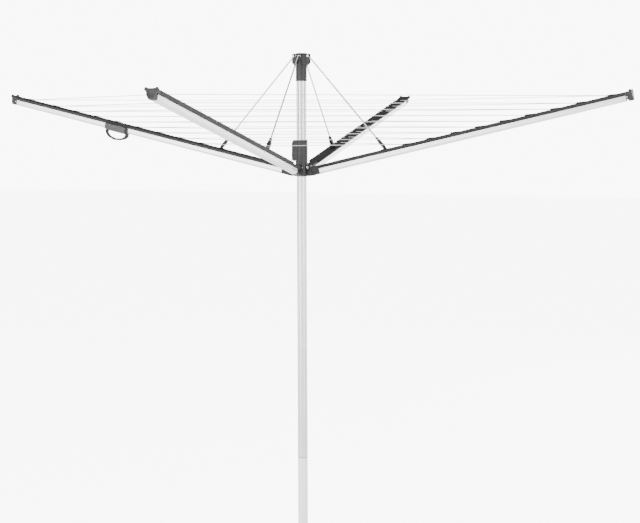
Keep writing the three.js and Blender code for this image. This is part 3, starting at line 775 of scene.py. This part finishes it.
def arm_cover():
    """The dark cover: a lip over the channel, sides that flare out into wings clear of the hub, and hoods."""
    half, low = COVER_HALF, CHANNEL_HIGH + GAP
    edge = [(half, low, 0.6), (half, low + 2.6, 0.3), (half - 0.7, low + 3, 0.3),
            (half - 0.7, low + 7.6, 0.3),
            (half, low + 8, 0.3), (half, COVER_TOP - 2.4, 1), (half - 3, COVER_TOP, 2)]
    inside = [(half - 2.5, low - 5), (half - 2.5, COVER_TOP - 4), (half - 4.6, COVER_TOP - 2.4)]
    flared = [(half, low, 0.6), (half, low + 2.2, 0.4), (WING_HALF - 3.4, COVER_TOP - 5.4, 2),
              (WING_HALF, COVER_TOP - 3.6, 0.8),
              (WING_HALF - 0.8, COVER_TOP - 2.2, 0.6), (WING_HALF - 2.2, COVER_TOP, 0.8),
              (WING_HALF - 5, COVER_TOP, 0.3),
              (WING_HALF - 5.4, COVER_TOP - 0.6, 0.2), (WING_HALF - 6.2, COVER_TOP - 0.6, 0.2),
              (WING_HALF - 6.6, COVER_TOP, 0.3)]
    cover = prism(rounded(mirrored(edge), 0.4, 3), ARM_START, WING_START + 1, "x", "cover")
    wings = prism(rounded(mirrored(flared), 0.4, 3), WING_START, ARM_END, "x", "wings")
    cover = combine(cover, [wings], "UNION")
    room = prism(mirrored(inside), 0, ARM_END + 50, "x")
    cover = combine(cover, [room])
    cover = combine(cover, [hood(x) for x in OUTLETS], "UNION")
    return combine(cover, [mouth(x, side) for x in OUTLETS for side in (-1, 1)])


def end_cap():
    """A shield-shaped cap: a wide face with two horns, and a narrower body with a screw in each side."""
    inner = ARM_END + GAP
    low = CAP_LOW
    face_edge = [(8, low, 3), (16.5, -22, 3), (17.2, -12, 2), (27, -4, 1), (21, HORN_TOP, 1.6),
                 (11.5, 0.6, 6)]
    face = prism(rounded(mirrored(face_edge), 1, 4), FACE - 9.5, FACE, "x")
    face = edges_rounded(face, 1, 3, 40)
    body_edge = [(8, low, 3), (16.5, -22, 2), (16.5, -12, 1), (WING_HALF, COVER_TOP - 3.5, 0.8),
                 (WING_HALF - 2, COVER_TOP, 1)]
    body = prism(rounded(mirrored(body_edge), 1, 4), inner - 12, FACE - 4, "x")
    skirt = prism(rounded([(inner, CHANNEL_HIGH), (inner + 8, low), (FACE + 5, low), (FACE + 5, 3),
                           (inner, 3)], 1, 3),
                  -30, 30, "y")
    body = edges_rounded(combine(body, [skirt], "INTERSECT"), 0.6)
    cap = fused([body, face])
    tools = []
    for side in (-1, 1):
        hollow = rounded([(inner + 4, -13), (inner + 14, -12.8), (inner + 13.5, -18),
                          (inner + 10.5, -26), (inner + 7, -20)], 1.5)
        tools.append(prism(hollow, *sorted((side * 14.6, side * 19)), "y"))
    tools.append(edges_rounded(prism(rounded(mirrored([(5, low + 4.5), (13.5, -21), (13.5, -7)]), 3, 4),
                                     FACE - 0.5, FACE + 3, "x"),
                               0.3))
    tongue = block(ARM_END - 25, inner + 2, -TONGUE_HALF, TONGUE_HALF, CHANNEL_BEND + 1, CHANNEL_HIGH - 1)
    return fused([combine(cap, tools), tongue])


def cap_screws():
    """Cross-headed screws, one in each side of the cap."""
    screws = []
    for side in (-1, 1):
        x, z = ARM_END + 5.4, -19.5
        head = rivet((x, side * 15.4, z), (0, side, 0), 3, 1.9)
        drive = [block(x - a, x + a, *sorted((side * 16.6, side * 20)), z - b, z + b)
                 for a, b in ((0.4, 2), (2, 0.4))]
        screws.append(combine(head, drive))
    return fused(screws)


def foot_bracket():
    plate = block(FOOT_ALONG - 14, FOOT_ALONG + 14, -11, 11, COVER_TOP + GAP, COVER_TOP + 2, 1)
    arc = [(FOOT_ALONG + 5 * math.cos(a), FOOT_UP + 5 * math.sin(a), 0)
           for a in (math.pi * k / 9 for k in range(10))]
    lug = prism(rounded([(FOOT_ALONG - 8, COVER_TOP + 1), (FOOT_ALONG + 8, COVER_TOP + 1, 1)] + arc, 1),
                -3, 3, "y")
    bracket = edges_rounded(fused([edges_rounded(plate, 0.5), lug]), 0.35)
    hole = tube([(FOOT_ALONG, -9, FOOT_UP), (FOOT_ALONG, 9, FOOT_UP)], FOOT_PIN_R + GAP, 28)
    return combine(bracket, [hole])


def foot_pin():
    pin = tube([(FOOT_ALONG, -7.6, FOOT_UP), (FOOT_ALONG, 7.6, FOOT_UP)], FOOT_PIN_R, 24)
    return fused([pin] + [rivet((FOOT_ALONG, side * 7.5, FOOT_UP), (0, side, 0), FOOT_PIN_R, 0.9)
                          for side in (-1, 1)])


def arms():
    on_each_arm(finished(arm_root(), ROOT_PLASTIC), "arm_root")
    on_each_arm(finished(arm_channel(), CHANNEL, 25), "arm_channel")
    on_each_arm(finished(arm_cover(), COVER_PLASTIC), "arm_cover")
    on_each_arm(finished(end_cap(), HUB_PLASTIC), "end_cap")
    on_each_arm(finished(cap_screws(), STEEL), "end_cap", name="cap_screw")
    on_each_arm(finished(foot_bracket(), DARK_PLASTIC), "foot_bracket")
    on_each_arm(finished(foot_pin(), DARK_PLASTIC), "foot_pin")


arms()

# ------------------------------------------------------------------ struts, in the strut's own frame


def strut_fork():
    """A moulded socket, narrow round the rod and split into two prongs at its foot."""
    arc = [(4.6 * math.cos(a), 4.6 * math.sin(a), 0) for a in (math.pi * (1 + k / 8) for k in range(9))]
    side = arc + [(5.4, 14, 4), (5.4, 26, 4), (4.3, 38, 3), (4.4, 50, 1), (-4.4, 50, 1), (-4.3, 38, 3),
                  (-5.4, 26, 4),
                  (-5.4, 14, 4)]
    fork = edges_rounded(prism(rounded(side, 0.5, 5), -7.4, 7.4, "y"), 1, 3)
    tools = [block(-12, 12, -3.4, 3.4, -12, 12, 2), tube([(0, -9, 0), (0, 9, 0)], FOOT_PIN_R + GAP, 28)]
    for side_y in (-1, 1):
        taper = [(side_y * 7.5, 24), (side_y * 12, 24), (side_y * 12, 60), (side_y * 4.6, 60),
                 (side_y * 5.2, 40)]
        tools.append(prism(taper, -12, 12, "x"))
    fork = combine(fork, tools)
    return combine(fork, [tube([(0, 0, SOCKET_Z), (0, 0, 60)], ROD_R + GAP, 28)])


def strut_rod():
    rod = tube([(0, 0, SOCKET_Z + GAP), (0, 0, SOCKET_Z + 1), (0, 0, STRUT_LENGTH)],
               [ROD_R - 0.4, ROD_R, ROD_R], 24)
    bar = tube([(0, -10, STRUT_LENGTH), (0, 10, STRUT_LENGTH)], PIN_R, 24)
    heads = [rivet((0, side * 9.4, STRUT_LENGTH), (0, side, 0), 4.8, 1.6) for side in (-1, 1)]
    return fused([rod, bar] + heads)


def struts():
    on_each_arm(finished(strut_fork(), DARK_PLASTIC), "strut_fork", "strut", strut_frame)
    on_each_arm(finished(strut_rod(), STEEL), "strut_rod", "strut", strut_frame)


struts()

# ------------------------------------------------------------------ pull handle


def saddle(x0, x1, wall=2.7):
    """A U-shaped clip round the channel."""
    inner = CHANNEL_HALF + GAP
    outer, floor, high = inner + wall, CHANNEL_LOW - GAP, CHANNEL_HIGH - GAP
    half = [(outer - 3, floor - wall, 1.5), (outer, CHANNEL_BEND, 3), (outer, high, 0.8), (inner, high, 0.3),
            (inner, CHANNEL_BEND, 1.5), (inner - CHANNEL_SLANT, floor, 1)]
    return edges_rounded(prism(rounded(mirrored(half), 0.5, 4), x0, x1, "x"), 0.5)


def handle_plate():
    """The plate's sides carry a shallow sunk panel."""
    plate = saddle(GRIP_FROM, GRIP_TO)
    panels = []
    for side in (-1, 1):
        outline = rounded([(GRIP_FROM + 14, -26.5), (GRIP_TO - 14, -26.5), (GRIP_TO - 14, -18.5),
                           (GRIP_FROM + 14, -18.5)], 2)
        panels.append(prism(outline, *sorted((side * 16.5, side * 20)), "y"))
    return combine(plate, panels)


def handle_loop():
    """A soft-edged grip that bellies out below the plate."""
    top = CHANNEL_LOW - 3.3
    outer = [(-13.5, 6), (-13, 13), (-3.5, 23), (16, 31.5), (45, 36.6), (73, 29), (87, 18), (91, 8)]
    hole = [(0, 5), (0.5, 12), (12, 22), (40, 28.6), (65, 24), (78, 14), (80, 6)]

    def outline(points, before, after):
        flat = [(GRIP_FROM + a, top - b) for a, b in before + points + after]
        return rounded([(x, z, 6) for x, z in flat], 6, 5)

    outside = prism(outline(outer, [(-13.5, 0.3)], [(91, 0.3)]), -4.7, 4.7, "y")
    inside = prism(outline(hole, [(2, 3)], [(78, 3)]), -8, 8, "y")
    loop = edges_rounded(combine(outside, [inside]), 2, 4, 40)
    clip = saddle(GRIP_FROM - 13.8, GRIP_FROM - GAP)
    bridge = block(GRIP_FROM - 13.6, GRIP_FROM - 0.6, -4.6, 4.6, top - 3, top + 2)
    return fused([loop, bridge, clip])


def handle():
    plate = finished(handle_plate(), HANDLE_PLASTIC)
    put(plate, "handle_plate", "arm_left", ["handle_base"], arm_frame("left"))
    loop = finished(handle_loop(), DARK_PLASTIC)
    put(loop, "handle_grip", "arm_left", ["handle_loop"], arm_frame("left"))


handle()

# ------------------------------------------------------------------ studio
ROOM_LIGHT = 0.22  # how brightly the room lights the object
WHITE = 9.3  # how bright the bare background looks


def sky():
    world = bpy.data.worlds.new("studio")
    bpy.context.scene.world = world
    world.use_nodes = True
    tree = world.node_tree
    background = tree.nodes["Background"]
    background.inputs["Color"].default_value = (1, 1, 1, 1)
    path = tree.nodes.new("ShaderNodeLightPath")
    strength = tree.nodes.new("ShaderNodeMapRange")
    strength.inputs["To Min"].default_value = ROOM_LIGHT
    strength.inputs["To Max"].default_value = WHITE
    tree.links.new(path.outputs["Is Camera Ray"], strength.inputs["Value"])
    tree.links.new(strength.outputs[0], background.inputs["Strength"])


def floor():
    """A wide pale floor that looks as white as the background behind it."""
    reach = 30
    maker = bmesh.new()
    corners = [maker.verts.new((x * reach, y * reach, 0)) for x, y in ((-1, -1), (1, -1), (1, 1), (-1, 1))]
    maker.faces.new(corners)
    made = to_object("floor", maker)
    r = Recipe("studio_floor", 0.9)
    tone = r.mix(r.range(r.noise(0.4, detail=2), 0.3, 0.7, 0, 1), grey(0.8), grey(0.82))
    path = r.add("ShaderNodeLightPath")
    seen = r.math("MULTIPLY", path.outputs["Is Camera Ray"], WHITE - 1.3)
    mirrored_in = r.math("MULTIPLY", path.outputs["Is Glossy Ray"], 2.2)
    glow = r.add("ShaderNodeEmission", {"Strength": r.math("ADD", seen, mirrored_in)})
    both = r.add("ShaderNodeAddShader", {0: r.shader.outputs[0], 1: glow.outputs[0]})
    r.tree.links.new(both.outputs[0], r.tree.nodes["Material Output"].inputs["Surface"])
    made.data.materials.append(r.done(tone))


def soft_light(name, place, target, size, power):
    data = bpy.data.lights.new(name, "AREA")
    data.shape = "RECTANGLE"
    data.size, data.size_y = size
    data.energy = power
    lamp = bpy.data.objects.new(name, data)
    bpy.context.scene.collection.objects.link(lamp)
    lamp.location = place
    lamp.rotation_euler = (Vector(target) - Vector(place)).to_track_quat("-Z", "Y").to_euler()


sky()
floor()
soft_light("key", (-2.4, -5.6, 2.0), (0, 0, 1.4), (3.4, 3.8), 420)
soft_light("side", (5.6, -2.3, 2.2), (0, 0, 1.4), (2.6, 3.8), 290)
soft_light("behind", (2.6, 5.6, 1.6), (0, 0, 1.4), (3.2, 3.0), 240)
soft_light("top", (-0.4, 0.4, 4.6), (0, 0, 1.5), (3.0, 3.0), 70)
